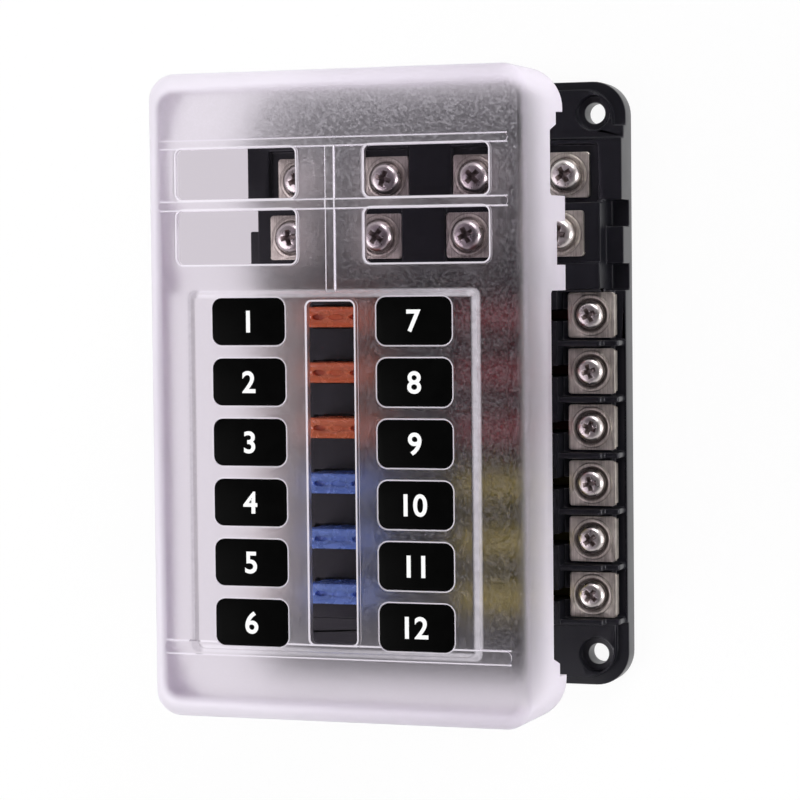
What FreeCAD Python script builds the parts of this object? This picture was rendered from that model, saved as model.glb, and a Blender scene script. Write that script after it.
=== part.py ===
import FreeCAD, Part
import os
from math import radians, tan
from FreeCAD import Vector

# Twelve-circuit blade fuse block with a clip-on clear cover.
# Millimetres. The block lies on its back: X runs across its width, Y along its length and
# Z away from the mounting face, with the origin at the centre of that face.

# Base moulding
BASE_WIDTH = 99.8
BASE_LENGTH = 151.9
BASE_CORNER_R = 8.5
RIDGE_CORNER_R = 7.6
LEDGE_Z = 6.0                   # seat of the cover's corners
LEDGE_X = 2.9                   # ledge width on the long sides
LEDGE_Y = 2.1                   # and on the short sides
END_DECK_Z = 8.2
SIDE_WALL_Z = 10.5              # beside the two bus rows
CIRCUIT_WALL_Z = 7.0            # beside the circuit screws, where the wires leave
DECK_Z = 16.0                   # top of the fuse deck
SHELF_Z = 10.8                  # under the circuit pads
SHELF_INSET = 2.9               # of that shelf from the outer edge
SKIN = 2.2
RIB = 1.6
BARRIER = 1.5
BARRIER_Z = 15.4
BARRIER_EDGE = 0.5              # chamfer on its two outer corners
BARRIER_INSET = 0.6             # of a barrier's end from the outer edge

# Mounting holes
HOLE_INSET_X = 7.9
HOLE_INSET_Y = 7.95
HOLE_D = 5.2
COUNTERBORE_D = 8.6

# Screw pads and bus rows, counted down from the top edge
PAD_SIDE = 11.9
PAD_SHORTER = 0.5               # how much less a pad measures along Y
PAD_THICK = 1.2
PAD_R = 0.8
RING_D = 10.2                   # pressed ring of a pad
RING_INNER_D = 8.6
RING_RISE = 0.25
BUS_SCREWS = 4
ROW_TOP_INSET = 15.75
GROUND_BELOW_TOP = 7.6
STEP_BELOW_GROUND = 7.0
FEED_BELOW_STEP = 7.7
FEED_TO_BOTTOM = 7.3
BUS_END_INSET = 9.95            # outer bus screws from the latch wall
FEED_SHELF_Z = 14.8
GROUND_SHELF_Z = 8.8
PILLAR_D = 7.0
BUS_BARRIER_RISE = 0.6          # above the pads

# Latch zones on both long sides
LATCH_INSET = 4.4
LATCH_WALL_Z = 12.0
LATCH_FLOOR_Z = 3.0
LATCH_ABOVE_STEP = 0.6
LATCH_BELOW_ROW = 6.8
TAB_LENGTH = 6.5                # along Y, one tab each side of the boss
BOSS_Z = 9.0

# Circuits
CIRCUIT_PITCH = 14.0
FIRST_CIRCUIT_DROP = 6.2        # first circuit from the latch zone
TAIL_DECK = 15.0                # least length of the deck that holds the lower screws
CIRCUIT_TO_DECK_END = 7.4
SCREW_INSET = 7.7
PAD_TO_DECK = 1.65
FUSE_TO_DECK_EDGE = 14.4

# Blade fuse, regular size
FUSE_WIDTH = 19.1
FUSE_THICK = 5.1
FUSE_BODY_HEIGHT = 12.0
FUSE_SEAT_Z = 13.6              # underside of the fuse body when pushed home
FUSE_SHOULDER = 3.4             # height of the broad top
FUSE_WAIST = 1.5                # how much narrower each side is below it
FUSE_BEVEL = 0.8
FUSE_HOLLOW_HALF = 3.4          # moulded hollow in both faces, over the element
FUSE_HOLLOW_DEPTH = 0.7
BLADE_WIDTH = 5.2
BLADE_THICK = 0.7
BLADE_LENGTH = 7.0
BLADE_BURIED = 10.6             # how far the blades rise inside the head
BLADE_POINT = 1.4
BLADE_OFFSET = 4.9              # blade centre from the middle of the fuse
ELEMENT_LOW = 3.0               # height of the element's lower and upper runs in the head
ELEMENT_HIGH = 5.8
ELEMENT_WIDTH = 1.0

# Sheet metal
CLIP_LEAF = 0.8
CLIP_WIDTH = 5.0
CLIP_TOP_Z = 12.9
CLIP_FLARE = 0.5
CLIP_MOUTH = 1.6                # height of the flared mouth
BUS_PLATE_Z = 4.0
BUS_PLATE_THICK = 1.2
BUS_HEAD_HALF = 5.0             # half width of the head, and its reach past the end screws
SPINE_TAIL = 3.0                # spine past the last clip
GROUND_BAR_Z = 1.9
GROUND_BAR_HALF = 4.2
GROUND_BAR_R = 1.5
TERMINAL_WEB_Z = 4.4
STRAP_WIDTH = 5.0
STRAP_THICK = 1.0
LIP_THICK = 0.85                # folded outer end of a circuit pad
LIP_DROP = 2.0
LIP_INSET = 0.9
COLLAR_D = 5.1                  # threaded collar drawn down from the circuit pad
COLLAR_DEPTH = 1.8
STAKE_D = 2.8
STAKE_END = 0.8                 # of a stake past the plate it holds

# Cover
COVER_LIFT = 56.3               # how far above its seat the cover is shown
COVER_TOP_Z = 28.2              # front face with the cover closed
COVER_INSET_X = 0.6             # of the rim from the base's edge
COVER_INSET_Y = 0.15
COVER_RIM_R = 10.0
COVER_TAPER_X = 3.6             # lean of each long side
COVER_TAPER_Y = 0.2
COVER_FRONT_R = 5.6
COVER_WALL = 1.5
COVER_EDGE_R = 4.2
RIM_STEP_Z = 9.7
RIM_MID_Z = 13.0
RIM_CORNER_INSET = 10.75        # where the deep corners of the rim begin
RIM_STEP = (3.0, 4.4)           # start and end of the chamfer beside each corner
RIM_SOFTEN = 0.6
TAB_END_Z = 5.0
RAISE = 0.5                     # height of the ribs and frames on the front face
ROUND_SPARE = 0.01              # keeps the straight end of a rounded rib from vanishing
CROSS_RIB_INSET = 3.2
MIDDLE_RIB = 2.2
UPPER_RIB = 2.0
STEP_RIB = 2.2
LOWER_RIB = 3.2

# Labels and what frames them
LABEL_WIDTH = 17.9
LABEL_HEIGHT = 10.9
LABEL_CORNER_R = 2.3
LABEL_THICK = 0.5
PANEL_MARGIN_X = 6.65           # panel past the labels
PANEL_MARGIN_Y = 1.95
PANEL_R = 1.8
PANEL_RISE = 0.8
PANEL_SLOPE = 2.2
VIEW_MARGIN = 4.55              # clear strip over the fuses, from the labels
VIEW_R = 2.2
VIEW_LINE = 0.9
WINDOW_SHIFT = 0.5              # window centre from the middle of its two screws
WINDOW_SPARE = 7.3              # window width past the screw pitch
UPPER_WINDOW = 13.0
LOWER_WINDOW = 13.8
WINDOW_DROP = 0.75              # window centres below their screw rows
WINDOW_R = 2.2
WINDOW_LINE = 0.6

# Screws: M3.5 on the circuits, M4 on the bus rows
CIRCUIT_SCREW_D = 3.5
CIRCUIT_HEAD_D = 6.9
CIRCUIT_HEAD_H = 2.6
CIRCUIT_SCREW_LENGTH = 8.0
BUS_SCREW_D = 4.0
BUS_HEAD_D = 8.0
BUS_HEAD_H = 3.1
BUS_SCREW_LENGTH = 7.5
SCREW_POINT = 0.5
TURN_STEP = 37                  # degrees between one screw's recess and the next

# Clearances
BODY_GAP = 0.3                  # between a part that moves and its surroundings
BLADE_GAP = 0.05                # blade to spring leaf, each side
FIT_GAP = 0.2                   # metal parts in the moulding
WELL_GAP = 0.6                  # round a clip in its well
SEAT_GAP = 0.1                  # cover's rim over the ledge
OVER = 1.0                      # how far a cutting shape runs past the face it opens

# Places that follow from the sizes above
HALF_WIDTH = BASE_WIDTH / 2
HALF_LENGTH = BASE_LENGTH / 2
HOLE_X = HALF_WIDTH - HOLE_INSET_X
HOLE_Y = HALF_LENGTH - HOLE_INSET_Y
LATCH_INNER_X = HALF_WIDTH - LATCH_INSET
SHELF_HALF_WIDTH = HALF_WIDTH - SHELF_INSET
CIRCUIT_SCREW_X = HALF_WIDTH - SCREW_INSET
DECK_HALF_WIDTH = CIRCUIT_SCREW_X - PAD_SIDE / 2 - PAD_TO_DECK
FUSE_X = DECK_HALF_WIDTH - FUSE_TO_DECK_EDGE
RISER_X = CIRCUIT_SCREW_X - PAD_SIDE / 2 + FIT_GAP
CLIP_REACH = BLADE_THICK / 2 + BLADE_GAP + CLIP_LEAF
BUS_PITCH = 2 * (LATCH_INNER_X - BUS_END_INSET) / (BUS_SCREWS - 1)
ROW_TOP_Y = HALF_LENGTH - ROW_TOP_INSET
GROUND_ROW_Y = ROW_TOP_Y - GROUND_BELOW_TOP
ROW_STEP_Y = GROUND_ROW_Y - STEP_BELOW_GROUND
FEED_ROW_Y = ROW_STEP_Y - FEED_BELOW_STEP
ROW_BOTTOM_Y = FEED_ROW_Y - FEED_TO_BOTTOM
LATCH_TOP_Y = ROW_STEP_Y + LATCH_ABOVE_STEP
LATCH_BOTTOM_Y = ROW_BOTTOM_Y - LATCH_BELOW_ROW
BOSS_TOP_Y = LATCH_TOP_Y - TAB_LENGTH
BOSS_BOTTOM_Y = LATCH_BOTTOM_Y + TAB_LENGTH
FIRST_CIRCUIT_Y = LATCH_BOTTOM_Y - FIRST_CIRCUIT_DROP
CIRCUIT_ROOM = FIRST_CIRCUIT_Y + HALF_LENGTH - TAIL_DECK - CIRCUIT_TO_DECK_END
CIRCUITS_PER_SIDE = int(CIRCUIT_ROOM / CIRCUIT_PITCH) + 1
LAST_CIRCUIT_Y = FIRST_CIRCUIT_Y - (CIRCUITS_PER_SIDE - 1) * CIRCUIT_PITCH
DECK_END_Y = LAST_CIRCUIT_Y - CIRCUIT_TO_DECK_END
COVER_RIM_WIDTH = BASE_WIDTH - 2 * COVER_INSET_X
COVER_RIM_LENGTH = BASE_LENGTH - 2 * COVER_INSET_Y
COVER_FRONT_WIDTH = COVER_RIM_WIDTH - 2 * COVER_TAPER_X
COVER_FRONT_LENGTH = COVER_RIM_LENGTH - 2 * COVER_TAPER_Y
RIM_CORNER_Y = HALF_LENGTH - RIM_CORNER_INSET
PANEL_Y = (FIRST_CIRCUIT_Y + LAST_CIRCUIT_Y) / 2
PANEL_WIDTH = 2 * FUSE_X + LABEL_WIDTH + 2 * PANEL_MARGIN_X
PANEL_HEIGHT = FIRST_CIRCUIT_Y - LAST_CIRCUIT_Y + LABEL_HEIGHT + 2 * PANEL_MARGIN_Y

os.makedirs("parts", exist_ok=True)


# Shapes used by several parts

def block(x0, x1, y0, y1, z0, z1):
    return Part.makeBox(x1 - x0, y1 - y0, z1 - z0, Vector(x0, y0, z0))


def rod(diameter, x, y, z0, z1):
    return Part.makeCylinder(diameter / 2, z1 - z0, Vector(x, y, z0))


def outline(width, height, radius, z, cx=0.0, cy=0.0):
    """Closed wire of a rectangle with rounded corners, in the plane at height z."""
    w, h, r = width / 2, height / 2, radius
    k = r * (1 - 2 ** -0.5)
    at = lambda x, y: Vector(cx + x, cy + y, z)
    edges = []
    for sx, sy in ((1, 1), (-1, 1), (-1, -1), (1, -1)):
        ends = [at(sx * w, sy * (h - r)), at(sx * (w - r), sy * h)]
        if sx * sy < 0:
            ends.reverse()
        edges.append(Part.Arc(ends[0], at(sx * (w - k), sy * (h - k)), ends[1]).toShape())
    corners = list(edges)
    for here, after in zip(corners, corners[1:] + corners[:1]):
        edges.append(Part.makeLine(here.Vertexes[-1].Point, after.Vertexes[0].Point))
    return Part.Wire(Part.__sortEdges__(edges))


def rounded_plate(width, height, radius, z0, z1, cx=0.0, cy=0.0):
    return Part.Face(outline(width, height, radius, z0, cx, cy)).extrude(Vector(0, 0, z1 - z0))


def frame(width, height, radius, line, z0, z1, cx=0.0, cy=0.0):
    inner_r = max(radius - line, 0.4)
    hollow = rounded_plate(width - 2 * line, height - 2 * line, inner_r, z0 - OVER, z1 + OVER, cx, cy)
    return rounded_plate(width, height, radius, z0, z1, cx, cy).cut(hollow)


def strip(points, axis, start, length):
    """Extrude a polygon; axis 'x' takes (y, z) points, axis 'y' takes (x, z) points."""
    if axis == "x":
        wire = Part.makePolygon([Vector(start, a, b) for a, b in points + points[:1]])
        return Part.Face(wire).extrude(Vector(length, 0, 0))
    wire = Part.makePolygon([Vector(a, start, b) for a, b in points + points[:1]])
    return Part.Face(wire).extrude(Vector(0, length, 0))


def both_sides(shape):
    return [shape, shape.mirror(Vector(0, 0, 0), Vector(1, 0, 0))]


def fuse_all(shapes):
    return shapes[0].multiFuse(shapes[1:]).removeSplitter()


def circuit_ys():
    return [FIRST_CIRCUIT_Y - i * CIRCUIT_PITCH for i in range(CIRCUITS_PER_SIDE)]


def bus_xs():
    return [(i - (BUS_SCREWS - 1) / 2) * BUS_PITCH for i in range(BUS_SCREWS)]


def circuits():
    """Side (-1 left, 1 right) and Y of every circuit, left column first."""
    return [(side, y) for side in (-1, 1) for y in circuit_ys()]


# Base moulding

def base_solid():
    half_w = HALF_WIDTH
    slab = rounded_plate(BASE_WIDTH, BASE_LENGTH, BASE_CORNER_R, 0, LEDGE_Z)
    deck = rounded_plate(BASE_WIDTH - 2 * LEDGE_X, BASE_LENGTH - 2 * LEDGE_Y,
                         RIDGE_CORNER_R, 0, END_DECK_Z)
    fuse_deck = block(-DECK_HALF_WIDTH, DECK_HALF_WIDTH, DECK_END_Y, ROW_BOTTOM_Y, 0, DECK_Z)
    feed = block(-LATCH_INNER_X, LATCH_INNER_X, LATCH_BOTTOM_Y, ROW_STEP_Y, 0, FEED_SHELF_Z)
    ground = block(-half_w, half_w, ROW_STEP_Y, ROW_TOP_Y, 0, GROUND_SHELF_Z)
    row_wall = block(-half_w, half_w, ROW_TOP_Y, ROW_TOP_Y + BARRIER, 0, SIDE_WALL_Z)
    head_wall = block(-LATCH_INNER_X, LATCH_INNER_X, LATCH_BOTTOM_Y + FIT_GAP,
                      ROW_BOTTOM_Y, 0, DECK_Z)
    solids = [slab, deck, fuse_deck, feed, ground, row_wall, head_wall]
    right = [
        block(LATCH_INNER_X - RIB, half_w, LATCH_TOP_Y, ROW_TOP_Y, 0, SIDE_WALL_Z),
        block(LATCH_INNER_X, half_w, ROW_TOP_Y + BARRIER, RIM_CORNER_Y - BODY_GAP, 0, END_DECK_Z),
        block(DECK_HALF_WIDTH - RIB, SHELF_HALF_WIDTH, DECK_END_Y, LATCH_BOTTOM_Y, 0, SHELF_Z),
        block(SHELF_HALF_WIDTH - RIB, half_w, DECK_END_Y, LATCH_BOTTOM_Y, 0, CIRCUIT_WALL_Z),
        block(LATCH_INNER_X - RIB, LATCH_INNER_X, LATCH_BOTTOM_Y, LATCH_TOP_Y, 0, LATCH_WALL_Z),
    ]
    for shape in right:
        solids += both_sides(shape)
    return fuse_all(solids)


def cover_inside(z):
    """Half width of the closed cover's hollow at height z."""
    slope = (COVER_RIM_WIDTH - COVER_FRONT_WIDTH) / 2 / (COVER_TOP_Z - TAB_END_Z)
    return COVER_RIM_WIDTH / 2 - COVER_WALL - slope * (z - TAB_END_Z)


def circuit_barriers():
    """Walls between neighbouring circuit screws, lower where they pass under the cover's rim."""
    walls = []
    inner, low = DECK_HALF_WIDTH - RIB, RIM_MID_Z - BODY_GAP
    reach = HALF_WIDTH - BARRIER_INSET
    shoulder = cover_inside(BARRIER_Z) - 2 * BODY_GAP
    profile = [(inner, 0), (reach, 0), (reach, low - BARRIER_EDGE), (reach - BARRIER_EDGE, low),
               (shoulder, low), (shoulder, BARRIER_Z - BARRIER_EDGE),
               (shoulder - BARRIER_EDGE, BARRIER_Z), (inner, BARRIER_Z)]
    for y in [a + CIRCUIT_PITCH / 2 for a in circuit_ys()] + [DECK_END_Y + BARRIER / 2]:
        walls += both_sides(strip(profile, "y", y - BARRIER / 2, BARRIER))
    return walls


def bus_barriers():
    """Broad raised blocks between neighbouring screws of each bus row."""
    walls = []
    half = (BUS_PITCH - PAD_SIDE) / 2 - FIT_GAP
    for x in [a + BUS_PITCH / 2 for a in bus_xs()[:-1]]:
        for y0, y1, top in ((ROW_BOTTOM_Y - OVER, ROW_STEP_Y, FEED_SHELF_Z),
                            (ROW_STEP_Y - OVER, ROW_TOP_Y + OVER, GROUND_SHELF_Z)):
            walls.append(block(x - half, x + half, y0, y1, top - OVER, top + PAD_THICK + BUS_BARRIER_RISE))
    return walls


def latch_recesses():
    """Openings that take the cover tabs, leaving a boss between each pair."""
    half_w = HALF_WIDTH
    cuts = []
    slot = block(LATCH_INNER_X, half_w + OVER, LATCH_BOTTOM_Y, LATCH_TOP_Y, LATCH_FLOOR_Z, DECK_Z + OVER)
    boss = block(LATCH_INNER_X - OVER, half_w + 2 * OVER, BOSS_BOTTOM_Y, BOSS_TOP_Y,
                 LATCH_FLOOR_Z - OVER, BOSS_Z)
    cuts += both_sides(slot.cut(boss))
    return cuts


def latch_bosses():
    return both_sides(block(LATCH_INNER_X - RIB, HALF_WIDTH, BOSS_BOTTOM_Y, BOSS_TOP_Y, 0, BOSS_Z))


def fuse_sockets():
    """Pocket for each fuse body, two wells that hold its clips, and a slot for the terminal's strap."""
    cuts = []
    well = CLIP_WIDTH / 2 + WELL_GAP
    half_t = FUSE_THICK / 2 + BODY_GAP
    for side, y in circuits():
        x = side * FUSE_X
        inner, outer = x - side * BLADE_OFFSET, x + side * BLADE_OFFSET
        half_w = FUSE_WIDTH / 2 + BODY_GAP
        cuts.append(block(x - half_w, x + half_w, y - half_t, y + half_t, FUSE_SEAT_Z - BODY_GAP,
                          DECK_Z + OVER))
        cuts.append(block(inner - well, inner + well, y - half_t, y + half_t, SKIN, DECK_Z))
        cuts.append(block(outer - well, outer + well, y - half_t, y + half_t, BUS_PLATE_Z, DECK_Z))
        slot = sorted((outer, side * (RISER_X + STRAP_THICK + FIT_GAP)))
        half_slot = CLIP_REACH + FIT_GAP
        cuts.append(block(slot[0], slot[1], y - half_slot, y + half_slot, BUS_PLATE_Z, DECK_Z + OVER))
        riser = sorted((side * (RISER_X - FIT_GAP), side * (RISER_X + STRAP_THICK + FIT_GAP)))
        half_riser = STRAP_WIDTH / 2 + FIT_GAP
        cuts.append(block(riser[0], riser[1], y - half_riser, y + half_riser, BUS_PLATE_Z, DECK_Z))
    return cuts


def underside_cores():
    """Hollows moulded into the back so that no section is much thicker than the skin."""
    cuts = []
    bus_half = FUSE_X - RIB / 2
    foot = DECK_END_Y + SKIN
    cuts.append(block(-bus_half, bus_half, foot, ROW_STEP_Y - SKIN, -OVER, FUSE_SEAT_Z - SKIN))
    cuts.append(block(-LATCH_INNER_X + SKIN, LATCH_INNER_X - SKIN, ROW_BOTTOM_Y + OVER,
                      ROW_STEP_Y - SKIN, -OVER, FEED_SHELF_Z - SKIN))
    cuts.append(block(-LATCH_INNER_X + SKIN, LATCH_INNER_X - SKIN, ROW_STEP_Y + SKIN / 2,
                      ROW_TOP_Y - SKIN / 2, -OVER, GROUND_SHELF_Z - SKIN))
    end_half = HOLE_X - COUNTERBORE_D
    for y0, y1 in ((ROW_TOP_Y + SKIN, HALF_LENGTH - LEDGE_Y - SKIN),
                   (-HALF_LENGTH + LEDGE_Y + SKIN, DECK_END_Y - SKIN)):
        bay = (2 * end_half - 2 * RIB) / 3
        for i in range(3):
            x = -end_half + i * (bay + RIB)
            cuts.append(block(x, x + bay, y0, y1, -OVER, END_DECK_Z - SKIN))
    gap = CIRCUIT_PITCH - FUSE_THICK - 2 * BODY_GAP - 2 * RIB
    for y in [a - CIRCUIT_PITCH / 2 for a in circuit_ys()[:-1]]:
        cuts += both_sides(block(FUSE_X + RIB / 2, DECK_HALF_WIDTH - SKIN, y - gap / 2, y + gap / 2,
                                 -OVER, DECK_Z - SKIN))
    for y in circuit_ys():
        bay = CIRCUIT_PITCH / 2 - RIB / 2
        cuts += both_sides(block(RISER_X + STRAP_THICK + RIB, SHELF_HALF_WIDTH - RIB, y - bay + RIB / 4,
                                 y + bay - RIB / 4, -OVER, SHELF_Z - SKIN))
    return cuts


def stakes():
    """Pins moulded under the deck that hold the two bus parts."""
    pins = [rod(STAKE_D, 0, y - CIRCUIT_PITCH / 2, BUS_PLATE_Z - STAKE_END, FUSE_SEAT_Z - SKIN + OVER)
            for y in circuit_ys()[:-1:2]]
    pins += [rod(STAKE_D, x + BUS_PITCH / 2, GROUND_ROW_Y, GROUND_BAR_Z - STAKE_END,
                 GROUND_SHELF_Z - SKIN + OVER)
             for x in bus_xs()[:-1]]
    return pins


def screw_holes():
    cuts = []
    for x in (-HOLE_X, HOLE_X):
        for y in (-HOLE_Y, HOLE_Y):
            cuts.append(rod(HOLE_D, x, y, -OVER, END_DECK_Z + OVER))
            cuts.append(rod(COUNTERBORE_D, x, y, LEDGE_Z, END_DECK_Z + OVER))
    for x in bus_xs():
        cuts.append(rod(PILLAR_D + 2 * FIT_GAP, x, FEED_ROW_Y, 0, DECK_Z))
        cuts.append(rod(PILLAR_D + 2 * FIT_GAP, x, GROUND_ROW_Y, 0, DECK_Z))
    for side, y in circuits():
        cuts.append(rod(COLLAR_D + 2 * FIT_GAP, side * CIRCUIT_SCREW_X, y, 0, DECK_Z))
    return cuts


def base_housing():
    body = fuse_all([base_solid()] + circuit_barriers() + bus_barriers())
    for group in (latch_recesses(), fuse_sockets(), underside_cores(), screw_holes()):
        body = body.cut(Part.makeCompound(group))
    return fuse_all([body] + latch_bosses() + stakes())


# Cover

def cover_shell():
    """Tapered cap: lofted between the rim and the front face, hollowed the same way."""
    outer = Part.makeLoft([outline(COVER_RIM_WIDTH, COVER_RIM_LENGTH, COVER_RIM_R, TAB_END_Z),
                           outline(COVER_FRONT_WIDTH, COVER_FRONT_LENGTH, COVER_FRONT_R, COVER_TOP_Z)],
                          True, True)
    front = [e for e in outer.Edges if e.BoundBox.ZMin > COVER_TOP_Z - 0.01]
    outer = outer.makeFillet(COVER_EDGE_R, front)
    wall = 2 * COVER_WALL
    under = COVER_TOP_Z - COVER_WALL
    slope = (COVER_RIM_WIDTH - COVER_FRONT_WIDTH) / (COVER_TOP_Z - TAB_END_Z)
    inner = Part.makeLoft([outline(COVER_RIM_WIDTH - wall + slope * OVER, COVER_RIM_LENGTH - wall,
                                   COVER_RIM_R - COVER_WALL, TAB_END_Z - OVER),
                           outline(COVER_FRONT_WIDTH - wall + slope * COVER_WALL,
                                   COVER_FRONT_LENGTH - wall, COVER_FRONT_R - COVER_WALL, under)],
                          True, True)
    top = [e for e in inner.Edges if e.BoundBox.ZMin > under - 0.01]
    inner = inner.makeFillet(COVER_EDGE_R - COVER_WALL, top)
    return outer.cut(inner)


def rim_cut():
    """Side profile of the cover's edge: deep at the corners and tabs, high over the wires."""
    floor = TAB_END_Z - OVER
    lat0, lat1 = LATCH_BOTTOM_Y + BODY_GAP, LATCH_TOP_Y - BODY_GAP
    boss0, boss1 = BOSS_BOTTOM_Y - BODY_GAP, BOSS_TOP_Y + BODY_GAP
    corner = RIM_CORNER_Y
    soft, over_boss = RIM_MID_Z - RIM_SOFTEN, BOSS_Z + 2 * BODY_GAP
    near, far = RIM_STEP
    lower = [(-corner, floor), (-corner, RIM_STEP_Z), (-corner + near, RIM_STEP_Z),
             (-corner + far, RIM_MID_Z), (lat0 - RIM_SOFTEN, RIM_MID_Z), (lat0, soft), (lat0, floor)]
    between = [(boss0, floor), (boss0, over_boss), (boss1, over_boss), (boss1, floor)]
    upper = [(lat1, floor), (lat1, soft), (lat1 + RIM_SOFTEN, RIM_MID_Z),
             (corner - far, RIM_MID_Z), (corner - near, RIM_STEP_Z), (corner, RIM_STEP_Z), (corner, floor)]
    width = COVER_RIM_WIDTH + 2 * OVER
    return [strip(p, "x", -width / 2, width) for p in (lower, between, upper)]


def end_cut():
    """Trims the two short ends and the corners to the ledge they rest on."""
    ring = rounded_plate(BASE_WIDTH + OVER, BASE_LENGTH + OVER, COVER_RIM_R,
                         TAB_END_Z - OVER, LEDGE_Z + SEAT_GAP)
    keep = block(-BASE_WIDTH, BASE_WIDTH, LATCH_BOTTOM_Y, LATCH_TOP_Y, 0, DECK_Z)
    return ring.cut(keep)


def front_details():
    """Raised ribs, label panel and window frames of the front face."""
    z0, z1 = COVER_TOP_Z - RAISE, COVER_TOP_Z + RAISE
    top = COVER_TOP_Z + PANEL_RISE
    panel = Part.makeLoft([
        outline(PANEL_WIDTH, PANEL_HEIGHT, PANEL_R, z0, 0, PANEL_Y),
        outline(PANEL_WIDTH - 2 * PANEL_SLOPE, PANEL_HEIGHT - PANEL_SLOPE, PANEL_R, top, 0, PANEL_Y),
    ], True, True)
    view = frame(2 * FUSE_X - LABEL_WIDTH - 2 * VIEW_MARGIN, PANEL_HEIGHT - 2 * PANEL_MARGIN_Y, VIEW_R,
                 VIEW_LINE, top - RAISE, top + RAISE / 2, 0, PANEL_Y)
    parts = [panel, view]
    upper = GROUND_ROW_Y - WINDOW_DROP + UPPER_WINDOW / 2 - WINDOW_LINE + UPPER_RIB / 2
    lower = PANEL_Y - PANEL_HEIGHT / 2 + LOWER_RIB / 3
    for y, height in ((upper, UPPER_RIB), (ROW_STEP_Y - STEP_RIB / 2, STEP_RIB), (lower, LOWER_RIB)):
        parts.append(rounded_plate(COVER_FRONT_WIDTH - 2 * CROSS_RIB_INSET, height,
                                   height / 2 - ROUND_SPARE, z0, z1, 0, y))
    foot = PANEL_Y + PANEL_HEIGHT / 2 - OVER
    parts.append(block(-MIDDLE_RIB / 2, MIDDLE_RIB / 2, foot, upper, z0, z1))
    for x in (WINDOW_SHIFT - BUS_PITCH, BUS_PITCH - WINDOW_SHIFT):
        for y, height in ((GROUND_ROW_Y, UPPER_WINDOW), (FEED_ROW_Y, LOWER_WINDOW)):
            parts.append(frame(BUS_PITCH + WINDOW_SPARE, height, WINDOW_R, WINDOW_LINE, z0, z1,
                               x, y - WINDOW_DROP))
    return parts


def label_recesses():
    z0 = COVER_TOP_Z + PANEL_RISE - LABEL_THICK / 2
    return [rounded_plate(LABEL_WIDTH + FIT_GAP, LABEL_HEIGHT + FIT_GAP, LABEL_CORNER_R,
                          z0, z0 + OVER, side * FUSE_X, y) for side, y in circuits()]


def cover():
    body = cover_shell()
    body = body.cut(Part.makeCompound(rim_cut() + [end_cut()]))
    body = fuse_all([body] + front_details()).cut(Part.makeCompound(label_recesses()))
    body.translate(Vector(0, 0, COVER_LIFT))
    return body


def label(side, y):
    z0 = COVER_LIFT + COVER_TOP_Z + PANEL_RISE - LABEL_THICK / 2
    return rounded_plate(LABEL_WIDTH, LABEL_HEIGHT, LABEL_CORNER_R, z0, z0 + LABEL_THICK,
                         side * FUSE_X, y)


# Fuses

def fuse_body(side, y):
    """Translucent plastic head: broad at the top, narrowed between the shoulders and the foot."""
    x = side * FUSE_X
    w, top, foot = FUSE_WIDTH / 2, FUSE_SEAT_Z + FUSE_BODY_HEIGHT, FUSE_SEAT_Z
    shoulder = top - FUSE_SHOULDER
    narrow = w - FUSE_WAIST
    profile = [(x - w, shoulder), (x - w, top - FUSE_BEVEL), (x - w + FUSE_BEVEL, top),
               (x + w - FUSE_BEVEL, top), (x + w, top - FUSE_BEVEL), (x + w, shoulder),
               (x + narrow, shoulder - FUSE_BEVEL), (x + narrow, foot), (x - narrow, foot),
               (x - narrow, shoulder - FUSE_BEVEL)]
    body = strip(profile, "y", y - FUSE_THICK / 2, FUSE_THICK)
    for face in (y - FUSE_THICK / 2 - OVER, y + FUSE_THICK / 2 - FUSE_HOLLOW_DEPTH):
        body = body.cut(block(x - FUSE_HOLLOW_HALF, x + FUSE_HOLLOW_HALF, face,
                              face + FUSE_HOLLOW_DEPTH + OVER, foot + FUSE_BEVEL, shoulder - FUSE_BEVEL))
    slot = BLADE_THICK / 2
    for dx in (-BLADE_OFFSET, BLADE_OFFSET):
        half = BLADE_WIDTH / 2
        body = body.cut(block(x + dx - half, x + dx + half, y - slot, y + slot, foot - OVER,
                              foot + BLADE_BURIED))
    link = block(x - BLADE_OFFSET, x + BLADE_OFFSET, y - slot, y + slot, foot + ELEMENT_LOW,
                 foot + ELEMENT_HIGH + ELEMENT_WIDTH)
    return body.cut(link)


def fuse_link(side, y):
    """One punched strip: two pointed blades joined by the narrow S-shaped element."""
    x, slot = side * FUSE_X, BLADE_THICK / 2
    half, foot = BLADE_WIDTH / 2, FUSE_SEAT_Z
    top, tip, point = foot + BLADE_BURIED, foot - BLADE_LENGTH, BLADE_POINT
    parts = []
    for c in (x - BLADE_OFFSET, x + BLADE_OFFSET):
        profile = [(c - half, top), (c + half, top), (c + half, tip + point), (c + half - point, tip),
                   (c - half + point, tip), (c - half, tip + point)]
        parts.append(strip(profile, "y", y - slot, BLADE_THICK))
    inner, w = BLADE_OFFSET - half, ELEMENT_WIDTH
    low, high = foot + ELEMENT_LOW, foot + ELEMENT_HIGH
    bridge = [(x - inner - w, low), (x - inner + w, low), (x - inner + w, high), (x + inner - 2 * w, high),
              (x + inner - 2 * w, low), (x + inner + w, low), (x + inner + w, low + w),
              (x + inner - w, low + w), (x + inner - w, high + w), (x - inner, high + w),
              (x - inner, low + w), (x - inner - w, low + w)]
    parts.append(strip(bridge, "y", y - slot, BLADE_THICK))
    return fuse_all(parts)


# Metal parts

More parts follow.
